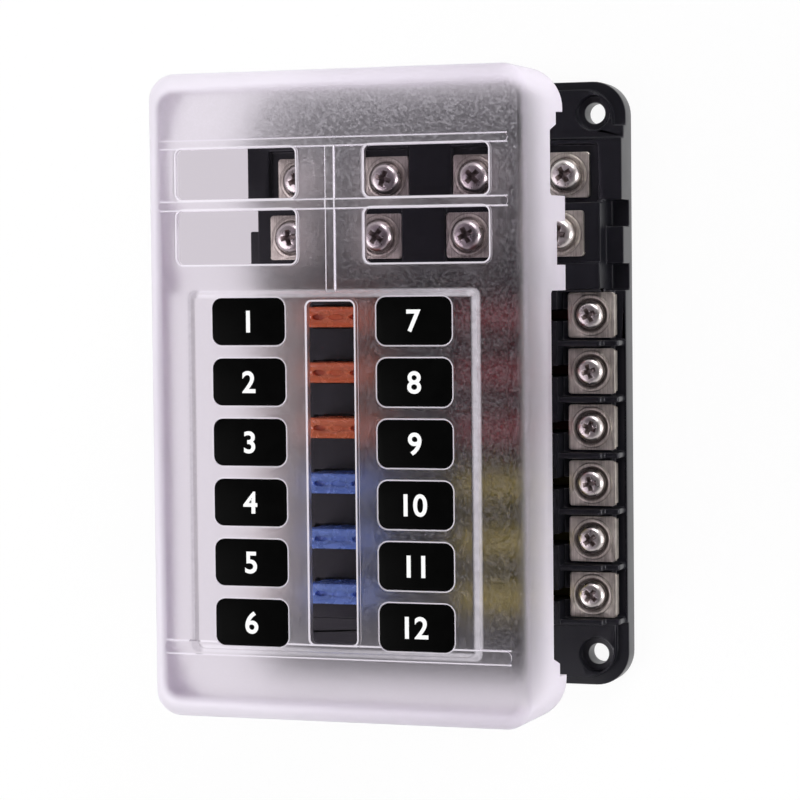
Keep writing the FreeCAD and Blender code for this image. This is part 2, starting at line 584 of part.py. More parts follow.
def clip_leaves(x, y, z0):
    """Two spring leaves with flared mouths, facing each other across the blade."""
    gap = BLADE_THICK / 2 + BLADE_GAP
    neck = CLIP_TOP_Z - CLIP_MOUTH
    near = [(y + gap, z0), (y + gap + CLIP_LEAF, z0), (y + gap + CLIP_LEAF, neck),
            (y + gap + CLIP_LEAF + CLIP_FLARE, CLIP_TOP_Z), (y + gap + CLIP_FLARE, CLIP_TOP_Z),
            (y + gap, neck)]
    far = [(2 * y - a, b) for a, b in near]
    return [strip(p, "x", x - CLIP_WIDTH / 2, CLIP_WIDTH) for p in (near, far)]


def ring_pad(cx, cy, z0):
    """Square screw pad with the pressed ring that bites on the wire or terminal."""
    top = z0 + PAD_THICK
    pad = rounded_plate(PAD_SIDE, PAD_SIDE - PAD_SHORTER, PAD_R, z0, top, cx, cy)
    ring = rod(RING_D, cx, cy, top - RING_RISE, top + RING_RISE)
    return pad.fuse(ring.cut(rod(RING_INNER_D, cx, cy, top - OVER, top + OVER)))


def output_terminal(side, y):
    """Clip, strap and threaded screw pad folded from one strip."""
    x = FUSE_X + BLADE_OFFSET
    z0 = TERMINAL_WEB_Z
    web = block(x - CLIP_WIDTH / 2, RISER_X + STRAP_THICK, y - CLIP_REACH, y + CLIP_REACH,
                z0, z0 + STRAP_THICK)
    riser = block(RISER_X, RISER_X + STRAP_THICK, y - STRAP_WIDTH / 2, y + STRAP_WIDTH / 2,
                  z0, SHELF_Z + PAD_THICK / 2)
    pad = ring_pad(CIRCUIT_SCREW_X, y, SHELF_Z)
    edge = CIRCUIT_SCREW_X + PAD_SIDE / 2
    lip = block(edge - LIP_THICK, edge, y - PAD_SIDE / 2 + LIP_INSET, y + PAD_SIDE / 2 - LIP_INSET,
                SHELF_Z - LIP_DROP, SHELF_Z + PAD_THICK / 2)
    collar = rod(COLLAR_D, CIRCUIT_SCREW_X, y, SHELF_Z - COLLAR_DEPTH, SHELF_Z + PAD_THICK / 2)
    body = fuse_all([web, riser, pad, lip, collar] + clip_leaves(x, y, z0))
    body = body.cut(rod(CIRCUIT_SCREW_D, CIRCUIT_SCREW_X, y, 0, DECK_Z))
    return body if side > 0 else body.mirror(Vector(0, 0, 0), Vector(1, 0, 0))


def positive_bus():
    """Feed plate: a spine with twelve clips and a head with four threaded pillars."""
    z0, z1 = BUS_PLATE_Z, BUS_PLATE_Z + BUS_PLATE_THICK
    x = FUSE_X - BLADE_OFFSET
    half = x + CLIP_WIDTH / 2
    ys = circuit_ys()
    spine = block(-half, half, ys[-1] - SPINE_TAIL, FEED_ROW_Y, z0, z1)
    head = block(bus_xs()[0] - BUS_HEAD_HALF, bus_xs()[-1] + BUS_HEAD_HALF,
                 FEED_ROW_Y - BUS_HEAD_HALF, FEED_ROW_Y + BUS_HEAD_HALF, z0, z1)
    parts = [spine, head]
    for side, y in circuits():
        parts += clip_leaves(side * x, y, z0 + BUS_PLATE_THICK / 2)
    parts += [rod(PILLAR_D, a, FEED_ROW_Y, z0, FEED_SHELF_Z) for a in bus_xs()]
    cuts = [rod(BUS_SCREW_D, a, FEED_ROW_Y, 0, DECK_Z) for a in bus_xs()]
    cuts += [rod(STAKE_D + FIT_GAP, 0, y - CIRCUIT_PITCH / 2, 0, DECK_Z) for y in ys[:-1:2]]
    return fuse_all(parts).cut(Part.makeCompound(cuts))


def negative_bus():
    z0, z1 = GROUND_BAR_Z, GROUND_BAR_Z + BUS_PLATE_THICK
    bar = rounded_plate(2 * (bus_xs()[-1] + GROUND_BAR_HALF), 2 * GROUND_BAR_HALF, GROUND_BAR_R,
                        z0, z1, 0, GROUND_ROW_Y)
    pillars = [rod(PILLAR_D, a, GROUND_ROW_Y, z0, GROUND_SHELF_Z) for a in bus_xs()]
    cuts = [rod(BUS_SCREW_D, a, GROUND_ROW_Y, 0, DECK_Z) for a in bus_xs()]
    cuts += [rod(STAKE_D + FIT_GAP, a + BUS_PITCH / 2, GROUND_ROW_Y, 0, DECK_Z) for a in bus_xs()[:-1]]
    return fuse_all([bar] + pillars).cut(Part.makeCompound(cuts))


def bus_pads():
    pads = []
    for row_y, z0 in ((FEED_ROW_Y, FEED_SHELF_Z), (GROUND_ROW_Y, GROUND_SHELF_Z)):
        for x in bus_xs():
            pads.append(ring_pad(x, row_y, z0).cut(rod(BUS_SCREW_D + FIT_GAP, x, row_y, 0, DECK_Z + OVER)))
    return Part.makeCompound(pads)


def pan_screw(x, y, seat, shank_d, head_d, head_h, length, turn):
    """Pan head machine screw, turned from its profile, with a cross recess."""
    r, h = head_d / 2, head_h
    shank = shank_d / 2
    profile = [Vector(0, 0, -length), Vector(shank - SCREW_POINT, 0, -length),
               Vector(shank, 0, -length + SCREW_POINT),
               Vector(shank, 0, 0), Vector(r, 0, 0), Vector(r, 0, h * 0.5), Vector(r * 0.86, 0, h * 0.86),
               Vector(r * 0.55, 0, h), Vector(0, 0, h)]
    screw = Part.Face(Part.makePolygon(profile + profile[:1])).revolve(Vector(0, 0, 0), Vector(0, 0, 1), 360)
    arm, width = head_d * 0.29, head_d * 0.13
    cross = block(-arm, arm, -width / 2, width / 2, h * 0.45, h + OVER)
    cross = cross.fuse(block(-width / 2, width / 2, -arm, arm, h * 0.45, h + OVER))
    screw = screw.cut(cross)
    screw.rotate(Vector(0, 0, 0), Vector(0, 0, 1), turn)
    screw.translate(Vector(x, y, seat))
    return screw


def circuit_screws():
    seat = SHELF_Z + PAD_THICK
    return Part.makeCompound([
        pan_screw(side * CIRCUIT_SCREW_X, y, seat, CIRCUIT_SCREW_D, CIRCUIT_HEAD_D, CIRCUIT_HEAD_H,
                  CIRCUIT_SCREW_LENGTH, TURN_STEP * i % 90)
        for i, (side, y) in enumerate(circuits())])


def bus_screws():
    screws = []
    for row_y, shelf in ((FEED_ROW_Y, FEED_SHELF_Z), (GROUND_ROW_Y, GROUND_SHELF_Z)):
        for i, x in enumerate(bus_xs()):
            screws.append(pan_screw(x, row_y, shelf + PAD_THICK, BUS_SCREW_D, BUS_HEAD_D, BUS_HEAD_H,
                                    BUS_SCREW_LENGTH, TURN_STEP * (i + 1) % 90))
    return Part.makeCompound(screws)


def save(shape, name):
    shape.exportStep("parts/" + name + ".step")


save(base_housing(), "base_housing")
save(cover(), "cover")
save(positive_bus(), "positive_bus")
save(negative_bus(), "negative_bus")
save(bus_pads(), "bus_pads")
save(circuit_screws(), "circuit_screws")
save(bus_screws(), "bus_screws")
for number, (side, y) in enumerate(circuits(), start=1):
    save(label(side, y), "label_%02d" % number)
    save(fuse_body(side, y), "fuse_%02d" % number)
    save(fuse_link(side, y), "fuse_%02d_link" % number)
    save(output_terminal(side, y), "output_terminal_%02d" % number)
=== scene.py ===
import math

import bmesh
import bpy
from mathutils import Matrix, Vector


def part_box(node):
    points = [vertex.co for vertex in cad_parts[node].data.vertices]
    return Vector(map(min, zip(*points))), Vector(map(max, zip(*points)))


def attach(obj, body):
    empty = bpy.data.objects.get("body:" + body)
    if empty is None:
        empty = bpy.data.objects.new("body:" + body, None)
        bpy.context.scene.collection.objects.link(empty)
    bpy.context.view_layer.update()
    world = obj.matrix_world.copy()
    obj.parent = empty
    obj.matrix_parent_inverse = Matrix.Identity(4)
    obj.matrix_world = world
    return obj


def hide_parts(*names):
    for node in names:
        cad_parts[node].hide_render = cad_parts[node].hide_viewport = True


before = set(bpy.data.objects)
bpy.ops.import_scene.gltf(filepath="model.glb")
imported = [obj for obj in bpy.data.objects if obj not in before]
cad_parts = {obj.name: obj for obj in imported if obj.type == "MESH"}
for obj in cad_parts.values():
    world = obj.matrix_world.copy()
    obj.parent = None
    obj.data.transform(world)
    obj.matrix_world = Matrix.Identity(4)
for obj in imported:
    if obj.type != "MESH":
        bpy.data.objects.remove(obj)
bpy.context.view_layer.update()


# Base moulding
# One black injection moulding in filled plastic, with mounting ears, bus rows and a fuse deck.
# Its mould is polished a little, so that only the walls that face the light look grey.

MM = 0.001
MOULD_EDGE = 0.4 * MM


class Shade:
    """A value in a material. Arithmetic on it adds Math nodes."""

    def __init__(self, tree, socket=None):
        self.tree, self.socket = tree, socket

    def node(self, kind, settings=None, inputs=None, output=0):
        made = self.tree.nodes.new("ShaderNode" + kind)
        for name, value in (settings or {}).items():
            setattr(made, name, value)
        for name, value in (inputs or {}).items():
            if isinstance(value, Shade):
                self.tree.links.new(value.socket, made.inputs[name])
            else:
                made.inputs[name].default_value = value
        return Shade(self.tree, made.outputs[output] if made.outputs else None)

    def also(self, output):
        """Another output of the node that this value comes from."""
        return Shade(self.tree, self.socket.node.outputs[output])

    def maths(self, operation, *values, clamp=False):
        settings = {"operation": operation, "use_clamp": clamp}
        return self.node("Math", settings, dict(enumerate(values)))

    def __add__(self, other):
        return self.maths("ADD", self, other)

    def __sub__(self, other):
        return self.maths("SUBTRACT", self, other)

    def __rsub__(self, other):
        return self.maths("SUBTRACT", other, self)

    def __mul__(self, other):
        return self.maths("MULTIPLY", self, other)

    def __abs__(self):
        return self.maths("ABSOLUTE", self)

    __radd__, __rmul__ = __add__, __mul__


def new_material(name):
    material = bpy.data.materials.new(name)
    material.use_nodes = True
    material.node_tree.nodes.clear()
    return material, Shade(material.node_tree)


def cloudy(shade, scale, detail, roughness=0.5):
    """Soft noise over the piece, from 0 to 1."""
    return shade.node("TexNoise", {}, {"Vector": shade.node("TexCoord", output=3), "Scale": scale,
                                       "Detail": detail, "Roughness": roughness})


def between(shade, factor, low, high):
    """Colour that runs from low to high as the factor runs from 0 to 1."""
    return shade.node("Mix", {"data_type": "RGBA"}, {0: factor, 6: low, 7: high}, 2)


def covered_by(shade, inputs):
    """One finish all over the piece."""
    shade.node("OutputMaterial", {}, {"Surface": shade.node("BsdfPrincipled", {}, inputs)})


def alone(piece):
    bpy.ops.object.select_all(action="DESELECT")
    piece.select_set(True)
    bpy.context.view_layer.objects.active = piece


def rounded_copy(node, name, radius):
    """The node's own shape with its sharp edges rounded, as the mould or the press leaves them."""
    piece = bpy.data.objects.new(name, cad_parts[node].data.copy())
    bpy.context.scene.collection.objects.link(piece)
    alone(piece)
    bpy.ops.object.mode_set(mode="EDIT")
    bpy.ops.mesh.customdata_custom_splitnormals_clear()
    bpy.ops.mesh.select_all(action="SELECT")
    bpy.ops.mesh.remove_doubles(threshold=0.002 * MM)
    bpy.ops.mesh.tris_convert_to_quads(face_threshold=math.radians(1), shape_threshold=math.radians(60))
    bpy.ops.object.mode_set(mode="OBJECT")
    bevel = piece.modifiers.new("edges", "BEVEL")
    bevel.width, bevel.segments = radius, 2
    bevel.limit_method, bevel.angle_limit = "ANGLE", math.radians(28)
    bevel.miter_outer = "MITER_ARC"
    bevel.use_clamp_overlap = False
    bpy.ops.object.modifier_apply(modifier="edges")
    bpy.ops.object.shade_smooth_by_angle(angle=math.radians(40))
    flat_faces_first = piece.modifiers.new("normals", "WEIGHTED_NORMAL")
    flat_faces_first.keep_sharp = True
    flat_faces_first.weight = 100
    bpy.ops.object.modifier_apply(modifier="normals")
    piece.data.materials.clear()
    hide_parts(node)
    return piece


def finish_piece(piece, material, body):
    piece.data.materials.append(material)
    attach(piece, body)


black_plastic, shade = new_material("black_moulding")
grain = cloudy(shade, 2600.0, 4.0)
cloud = cloudy(shade, 90.0, 3.0)
covered_by(shade, {
    "Base Color": between(shade, cloud, (0.004, 0.004, 0.006, 1), (0.007, 0.007, 0.010, 1)),
    "Roughness": 0.25 + cloud * 0.14,
    "IOR": 1.40,
    "Specular Tint": (0.95, 0.92, 1.0, 1),
    "Normal": shade.node("Bump", {}, {"Strength": 0.35, "Distance": 0.04 * MM, "Height": grain}),
})

base = rounded_copy("base_housing", "base_moulding", MOULD_EDGE)
finish_piece(base, black_plastic, "base")


# Bus parts, screw pads and circuit terminals
# Stamped from nickel-plated brass strip, with a pressed ring round each screw that keeps a wire
# end in. The plating shows the strip's rolling lines and is stained. Painted shade darkens it in
# rings round the screw heads, along the pressed ring and down in the slots.

CIRCUIT_PITCH = 14.0
CIRCUIT_X = 42.2
FIRST_CIRCUIT_Y = 17.6
BUS_PITCH = 23.7
FEED_Y = 37.9
GROUND_Y = 52.6
BUS_ROWS_START = 29.0    # Y that parts the bus rows from the circuits
HEAD_SHADOW_R = 3.8      # dark ring left round a circuit screw's head
PRESSED_RING_R = 5.1
BUS_HEAD_MORE = 0.35     # how much wider the rings of the bus screws are
SLOT_TOP_Z = 9.0


def in_millimetres(shade):
    """X, Y and Z of the piece's own space."""
    parts = shade.node("SeparateXYZ", {}, {"Vector": shade.node("TexCoord", output=3)})
    return [parts.also(axis) * (1 / MM) for axis in "XYZ"]


def from_circuit_row(shade, y):
    """Offset along Y from the middle of the nearest circuit."""
    return shade.maths("FLOORED_MODULO", y - (FIRST_CIRCUIT_Y - CIRCUIT_PITCH / 2),
                       CIRCUIT_PITCH) - CIRCUIT_PITCH / 2


def length(shade, x, y):
    return shade.node("VectorMath", {"operation": "LENGTH"},
                      {0: shade.node("CombineXYZ", {}, {"X": x, "Y": y})}, 1)


nickel, shade = new_material("satin_nickel")
x, y, z = in_millimetres(shade)
cloud = cloudy(shade, 260.0, 5.0, 0.6)
drawn_grain_and_edge_highlight = shade.node("Mapping", {}, {"Vector": shade.node("TexCoord", output=3), "Scale": (1.0, 0.06, 1.0)})
lines = shade.node("TexNoise", {}, {"Vector": drawn_grain_and_edge_highlight, "Scale": 3200.0, "Detail": 3.0})
circuit = length(shade, abs(x) - CIRCUIT_X, from_circuit_row(shade, y))
in_bus_row = shade.maths("FLOORED_MODULO", x, BUS_PITCH) - BUS_PITCH / 2
bus = shade.maths("MINIMUM", length(shade, in_bus_row, y - GROUND_Y), length(shade, in_bus_row, y - FEED_Y))
on_bus = shade.maths("GREATER_THAN", y, BUS_ROWS_START)
from_screw = circuit * (1 - on_bus) + (bus - BUS_HEAD_MORE) * on_bus
# Painted shade: a dark ring round each screw head, weaker on the bus rows, and a thin dark line along the
# pressed ring.
head_shade = shade.maths("MULTIPLY_ADD", abs(from_screw - HEAD_SHADOW_R), -2.6, 1.6, clamp=True)
head_shade = head_shade * (1 - on_bus * 0.45)
pressed_ring_shade = shade.maths("MULTIPLY_ADD", abs(from_screw - PRESSED_RING_R), -6.0, 1.1, clamp=True) * 0.45
stains = shade.maths("MULTIPLY_ADD", cloud * 0.5 + lines * 0.5, 3.0, -1.0, clamp=True)
tone = between(shade, stains, (0.30, 0.26, 0.235, 1), (0.72, 0.66, 0.60, 1))
tone = between(shade, shade.maths("MAXIMUM", head_shade, pressed_ring_shade) * 0.9, tone, (0.03, 0.022, 0.02, 1))
# Painted shade: below the slot tops the nickel turns near black.
slot_shade = shade.maths("LESS_THAN", z, SLOT_TOP_Z)
covered_by(shade, {
    "Base Color": between(shade, slot_shade, tone, (0.02, 0.018, 0.018, 1)),
    "Metallic": 1.0,
    "Roughness": 0.28 + cloud * 0.12 + lines * 0.10,
    "Normal": shade.node("Bump", {}, {"Strength": 0.3, "Distance": 0.03 * MM, "Height": lines + cloud}),
})

for node, edge, slot in (("bus_pads", 0.18 * MM, "nickel_steel"), ("positive_bus", 0.1 * MM, "nickel_brass"),
                         ("negative_bus", 0.1 * MM, "nickel_brass")):
    finish_piece(rounded_copy(node, node + "_plated", edge), nickel, "base")
for number in range(1, 13):
    node = "output_terminal_%02d" % number
    finish_piece(rounded_copy(node, node + "_plated", 0.15 * MM), nickel, "base")


# Terminal screws
# Pan head machine screws in bright nickel, M3.5 on the circuits and M4 on the bus rows. The cross
# is pressed into the crown with sloping walls, and each screw stops at an angle of its own.

CIRCUIT_SEAT = 12.0
FEED_SEAT, GROUND_SEAT = 16.0, 10.0
CIRCUIT_TURNS = (14, 61, 33, 80, 5, 47, 27, 18, 66, 12, 38, 52)
GROUND_TURNS, FEED_TURNS = (20, 71, 44, 30), (8, 55, 25, 77)

bright_nickel, shade = new_material("bright_nickel")
cloud = cloudy(shade, 700.0, 4.0)
covered_by(shade, {
    "Base Color": between(shade, cloud, (0.38, 0.335, 0.33, 1), (0.80, 0.74, 0.73, 1)),
    "Metallic": 1.0,
    "Roughness": 0.22 + cloud * 0.14,
    "Normal": shade.node("Bump", {}, {"Strength": 0.2, "Distance": 0.03 * MM, "Height": cloud}),
})

# A darker copy of the screw nickel for the faces of the cross recess: painted shade.
shaded_recess_nickel, shade = new_material("shaded_recess_nickel")
cloud = cloudy(shade, 900.0, 3.0)
covered_by(shade, {
    "Base Color": between(shade, cloud, (0.16, 0.12, 0.115, 1), (0.42, 0.36, 0.35, 1)),
    "Metallic": 1.0,
    "Roughness": 0.34 + cloud * 0.2,
})


def pick_faces(piece, test):
    """Selects the faces whose centre and normal pass the test, in edit mode."""
    mesh = bmesh.from_edit_mesh(piece.data)
    for part in (mesh.verts, mesh.edges, mesh.faces):
        for one in part:
            one.select = False
    for face in mesh.faces:
        if test(face.calc_center_median(), face.normal):
            face.select_set(True)
    bmesh.update_edit_mesh(piece.data)


def cut_away(piece, cutter, new_faces="INDEX"):
    """Takes the cutter's shape out of the piece. TRANSFER keeps its material on the new faces."""
    alone(piece)
    cut = piece.modifiers.new("cut", "BOOLEAN")
    cut.object, cut.operation, cut.solver = cutter, "DIFFERENCE", "EXACT"
    cut.material_mode = new_faces
    bpy.ops.object.modifier_apply(modifier="cut")
    bpy.data.objects.remove(cutter)


def screw_blank(name, head_d, head_h, shank_d, length):
    """Crowned head and shank, with the head's seat at the origin."""
    bpy.ops.object.select_all(action="DESELECT")
    bpy.ops.mesh.primitive_cylinder_add(vertices=56, radius=head_d / 2, depth=head_h,
                                        location=(0, 0, head_h / 2))
    screw = bpy.context.object
    screw.name = name
    screw.data.materials.append(bright_nickel)
    bpy.ops.object.transform_apply(location=True, rotation=True, scale=True)
    bpy.ops.object.mode_set(mode="EDIT")
    pick_faces(screw, lambda at, normal: normal.z > 0.9)
    bpy.ops.mesh.bevel(offset=head_h * 0.62, segments=7, profile=0.5, affect="EDGES")
    pick_faces(screw, lambda at, normal: normal.z > 0.999 and at.z > head_h * 0.98)
    bpy.ops.mesh.inset(thickness=head_d * 0.12)
    bpy.ops.transform.translate(value=(0, 0, head_h * 0.05))
    pick_faces(screw, lambda at, normal: normal.z < -0.9)
    bpy.ops.mesh.inset(thickness=(head_d - shank_d) / 2)
    bpy.ops.mesh.extrude_region_move(TRANSFORM_OT_translate={"value": (0, 0, -length)})
    bpy.ops.object.mode_set(mode="OBJECT")
    return screw


def recess_punch(head_d, head_h, turn):
    """One arm of the cross, narrower at its foot."""
    bpy.ops.object.select_all(action="DESELECT")
    bpy.ops.mesh.primitive_cube_add(size=1, location=(0, 0, head_h * 0.7),
                                    scale=(head_d * 0.56, head_d * 0.17, head_h * 0.9))
    punch = bpy.context.object
    bpy.ops.object.transform_apply(location=True, rotation=True, scale=True)
    bpy.ops.object.mode_set(mode="EDIT")
    pick_faces(punch, lambda at, normal: normal.z < -0.9)
    bpy.ops.transform.resize(value=(0.45, 0.6, 1))
    bpy.ops.object.mode_set(mode="OBJECT")
    punch.data.transform(Matrix.Rotation(math.radians(turn), 4, "Z"))
    punch.data.materials.append(shaded_recess_nickel)
    return punch


def pan_screw(name, head_d, head_h, shank_d, length):
    screw = screw_blank(name, head_d, head_h, shank_d, length)
    for turn in (0, 90):
        cut_away(screw, recess_punch(head_d, head_h, turn), "TRANSFER")
    bevel = screw.modifiers.new("edges", "BEVEL")
    bevel.width, bevel.segments = 0.09 * MM, 2
    bevel.limit_method, bevel.angle_limit = "ANGLE", math.radians(35)
    bpy.ops.object.modifier_apply(modifier="edges")
    bpy.ops.object.shade_smooth_by_angle(angle=math.radians(35))
    return screw


def drive_in(pattern, name, x, y, seat, turn, node):
    """A copy of the screw in its place, turned about its axis."""
    screw = bpy.data.objects.new(name, pattern.data.copy())
    bpy.context.scene.collection.objects.link(screw)
    place = Matrix.Translation((x * MM, y * MM, seat * MM))
    screw.data.transform(place @ Matrix.Rotation(math.radians(turn), 4, "Z"))
    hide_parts(node)
    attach(screw, "base")


circuit_places = [(side * CIRCUIT_X, FIRST_CIRCUIT_Y - CIRCUIT_PITCH * i) for side in (-1, 1) for i in range(6)]
pattern = pan_screw("circuit_screw", 6.9 * MM, 2.45 * MM, 3.5 * MM, 7.9 * MM)
for number, ((x, y), turn) in enumerate(zip(circuit_places, CIRCUIT_TURNS), 1):
    drive_in(pattern, "circuit_screw_%02d" % number, x, y, CIRCUIT_SEAT, turn, "circuit_screws")
bpy.data.objects.remove(pattern)

pattern = pan_screw("bus_screw", 8.0 * MM, 2.9 * MM, 4.0 * MM, 7.4 * MM)
for first, y, seat, turns in ((1, GROUND_Y, GROUND_SEAT, GROUND_TURNS), (5, FEED_Y, FEED_SEAT, FEED_TURNS)):
    for i, turn in enumerate(turns):
        drive_in(pattern, "bus_screw_%02d" % (first + i), (i - 1.5) * BUS_PITCH, y, seat, turn, "bus_screws")
bpy.data.objects.remove(pattern)


# Blade fuses
# Each has a tinted clear plastic head on a punched zinc link. The head is broad at the top,
# hollowed over the element, and open above both blades so that a probe can touch them.

FUSE_X = 20.2
FUSE_TOP = 25.6
FUSE_EDGE = 0.35 * MM
PROBE_X, PROBE_WIDTH, PROBE_DEPTH = 5.0, 3.6, 1.3
DISH_WIDTH, DISH_DEPTH = 4.2, 0.35
SLOT_THICKNESS = 1.5
CLEAR_OF_TOP = 1.0

zinc, shade = new_material("tinned_zinc")
cloud = cloudy(shade, 500.0, 4.0)
covered_by(shade, {
    "Base Color": between(shade, cloud, (0.5, 0.5, 0.5, 1), (0.75, 0.75, 0.74, 1)),
    "Metallic": 1.0,
    "Roughness": 0.28 + cloud * 0.15,
})

tints = []
for slot, dark, light in (("fuse_orange", (0.70, 0.10, 0.03, 1), (1.0, 0.30, 0.12, 1)),
                          ("fuse_blue", (0.05, 0.14, 0.55, 1), (0.24, 0.40, 0.95, 1)),
                          ("fuse_red", (0.27, 0.012, 0.018, 1), (0.52, 0.035, 0.045, 1)),
                          ("fuse_yellow", (0.40, 0.32, 0.02, 1), (0.72, 0.60, 0.06, 1))):
    tint, shade = new_material(slot + "_tint")
    x, y, z = in_millimetres(shade)
    streaks = shade.node("TexNoise", {}, {"Vector": shade.node("TexCoord", output=3), "Scale": 420.0,
                                          "Detail": 3.0, "Distortion": 0.8})
    covered_by(shade, {
        "Base Color": between(shade, streaks - y * 0.007, dark, light),
        "Roughness": 0.16 + streaks * 0.2,
        "IOR": 1.5,
        "Transmission Weight": 0.3,
        "Normal": shade.node("Bump", {}, {"Strength": 0.5, "Distance": 0.12 * MM, "Height": streaks}),
    })
    tints.append((slot, tint))


def probe_slots(head, x, y):
    """Cuts the two openings above the blades, and the shallow dish between them."""
    for dx, width, deep in ((-PROBE_X, PROBE_WIDTH, PROBE_DEPTH), (PROBE_X, PROBE_WIDTH, PROBE_DEPTH),
                            (0.0, DISH_WIDTH, DISH_DEPTH)):
        bpy.ops.object.select_all(action="DESELECT")
        bpy.ops.mesh.primitive_cylinder_add(vertices=24, radius=0.5, depth=1, location=(0, 0, 0))
        cutter = bpy.context.object
        high = deep + CLEAR_OF_TOP
        place = Matrix.Translation(((x + dx) * MM, y * MM, (FUSE_TOP - deep + high / 2) * MM))
        cutter.data.transform(place @ Matrix.Diagonal((width * MM, SLOT_THICKNESS * MM, high * MM, 1)))
        cut_away(head, cutter)
    bpy.ops.object.shade_smooth_by_angle(angle=math.radians(32))


for number, (x, y) in enumerate(circuit_places, 1):
    node = "fuse_%02d" % number
    slot, tint = tints[(number - 1) // 3]
    head = rounded_copy(node, node + "_head", FUSE_EDGE)
    probe_slots(head, math.copysign(FUSE_X, x), y)
    finish_piece(head, tint, node)
    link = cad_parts[node + "_link"]
    link.data.materials.clear()
    link.data.materials.append(zinc)


# Cover
# One clear moulding, frosted by the mould's texture but for four windows over the bus screws and
# a long strip over the fuses, which are polished. Its frame, rib and label recess edges and the
# panel's sloped sides carry painted highlights, the skirt and rim painted light, the frost painted
# light from above and the panel's left slope painted shade.

WINDOW_X, WINDOW_WIDTH, FIELD_CORNER = 23.2, 31.0, 2.2
WINDOWS = ((51.85, 13.0), (37.15, 13.8))    # Y and height of the two rows
PANEL_Y, PANEL_WIDTH, PANEL_HEIGHT, PANEL_CORNER = -17.4, 71.6, 84.8, 1.8
STRIP_WIDTH, STRIP_HEIGHT = 13.4, 80.9
LABEL_WIDTH, LABEL_HEIGHT, LABEL_CORNER = 17.9, 10.9, 2.3
CROSS_RIBS = ((58.75, 1.0), (44.5, 1.1), (-58.73, 1.6))    # Y and half width of each
RIB_END_X = 42.2
MIDDLE_RIB, MIDDLE_RIB_Y, MIDDLE_RIB_REACH = 1.1, 41.3, 16.4
FRONT_SKIN_Z = 83.7      # between the inner face and the front face
SKIRT_X, SKIRT_WIDTH, SKIRT_LENGTH, SKIRT_CORNER = 1.7, 87.0, 140.0, 3.0
RIM_WIDTH, RIM_LENGTH, RIM_CORNER = 94.5, 146.5, 5.0


def rounded_field(shade, x, y, width, height, radius):
    """Distance in millimetres outside a rounded rectangle about the origin, negative inside it."""
    dx = abs(x) - (width / 2 - radius)
    dy = abs(y) - (height / 2 - radius)
    outside = length(shade, shade.maths("MAXIMUM", dx, 0.0), shade.maths("MAXIMUM", dy, 0.0))
    inside = shade.maths("MINIMUM", shade.maths("MAXIMUM", dx, dy), 0.0)
    return outside + inside - radius


def nearest(shade, *distances):
    least = distances[0]
    for distance in distances[1:]:
        least = shade.maths("MINIMUM", least, distance)
    return least


frosted, shade = new_material("frosted_cover")
x, y, z = in_millimetres(shade)
in_panel = y - PANEL_Y
windows = nearest(shade, *(
    rounded_field(shade, abs(x) - WINDOW_X, y - window_y, WINDOW_WIDTH, window_height, FIELD_CORNER)
    for window_y, window_height in WINDOWS))
strip = rounded_field(shade, x, in_panel, STRIP_WIDTH, STRIP_HEIGHT, FIELD_CORNER)
clear = shade.maths("MULTIPLY_ADD", nearest(shade, windows + 0.65, strip + 0.95), -8.0, 0.5, clamp=True)

ribs = nearest(shade, *(abs(abs(y - rib_y) - half) for rib_y, half in CROSS_RIBS))
ribs = shade.maths("MAXIMUM", ribs, abs(x) - RIB_END_X)
middle_rib = shade.maths("MAXIMUM", abs(abs(x) - MIDDLE_RIB), abs(y - MIDDLE_RIB_Y) - MIDDLE_RIB_REACH)
plates = shade.maths("MAXIMUM", rounded_field(shade, abs(x) - FUSE_X, from_circuit_row(shade, y),
                                              LABEL_WIDTH, LABEL_HEIGHT, LABEL_CORNER),
                     abs(in_panel) - 3 * CIRCUIT_PITCH)
# Painted highlights: white lines along the window and strip frames, the ribs and the edges of the label
# recesses.
lines = nearest(shade, abs(windows + 0.42), abs(strip + 0.72), ribs, middle_rib, abs(plates - 0.15))
drawn_grain_and_edge_highlight = shade.maths("MULTIPLY_ADD", lines, -6.0, 1.7, clamp=True)

panel_slope = abs(rounded_field(shade, x, in_panel, PANEL_WIDTH, PANEL_HEIGHT, PANEL_CORNER) + 1.0)
# Painted highlight on the panel's sloped sides, stronger further out to either side and mottled.
slope_highlight = shade.maths("MULTIPLY_ADD", panel_slope - 0.9, -2.0, 0.5, clamp=True)
slope_highlight = slope_highlight * (0.35 + abs(x) * 0.005) * (0.3 + cloudy(shade, 700.0, 4.0, 0.8) * 1.4)

cells = shade.node("TexVoronoi", {}, {"Vector": shade.node("TexCoord", output=3), "Scale": 2300.0}, 1)
sparkle = shade.maths("POWER", shade.node("SeparateXYZ", {}, {"Vector": cells}), 2.0)
# The frost's own grain, with painted light from above: it grows whiter and coarser towards the top, and whiter
# towards the left.
top_light = shade.maths("MULTIPLY_ADD", y, 0.031, -0.94, clamp=True)
frost_grain_and_top_light = sparkle * (0.095 + 0.13 * top_light) + 0.12 * top_light * (1 - x * 0.014)
# Milky where the painted highlights fall, and where the frost's grain and painted top light fall outside the
# polished windows; front skin only.
white = shade.maths("MAXIMUM", shade.maths("MAXIMUM", drawn_grain_and_edge_highlight * 0.85, slope_highlight), frost_grain_and_top_light * (1 - clear))
white = white * shade.maths("GREATER_THAN", z, FRONT_SKIN_Z)

# Painted light on the skirt and rim: they turn milky white, more towards the top and bottom ends and towards
# the left.
skirt_light = shade.maths("MULTIPLY", rounded_field(shade, x - SKIRT_X, y, SKIRT_WIDTH, SKIRT_LENGTH, SKIRT_CORNER),
                    0.4, clamp=True)
skirt_light = skirt_light * (0.45 + shade.maths("MAXIMUM", y * 0.0055, y * -0.0048)
                 - shade.maths("MINIMUM", x * 0.0045, x * 0.011))
rim_light = shade.maths("MULTIPLY", rounded_field(shade, x, y, RIM_WIDTH, RIM_LENGTH, RIM_CORNER), 0.5, clamp=True)
skirt_light = shade.maths("MAXIMUM", skirt_light, rim_light * (0.66 - x * 0.004))

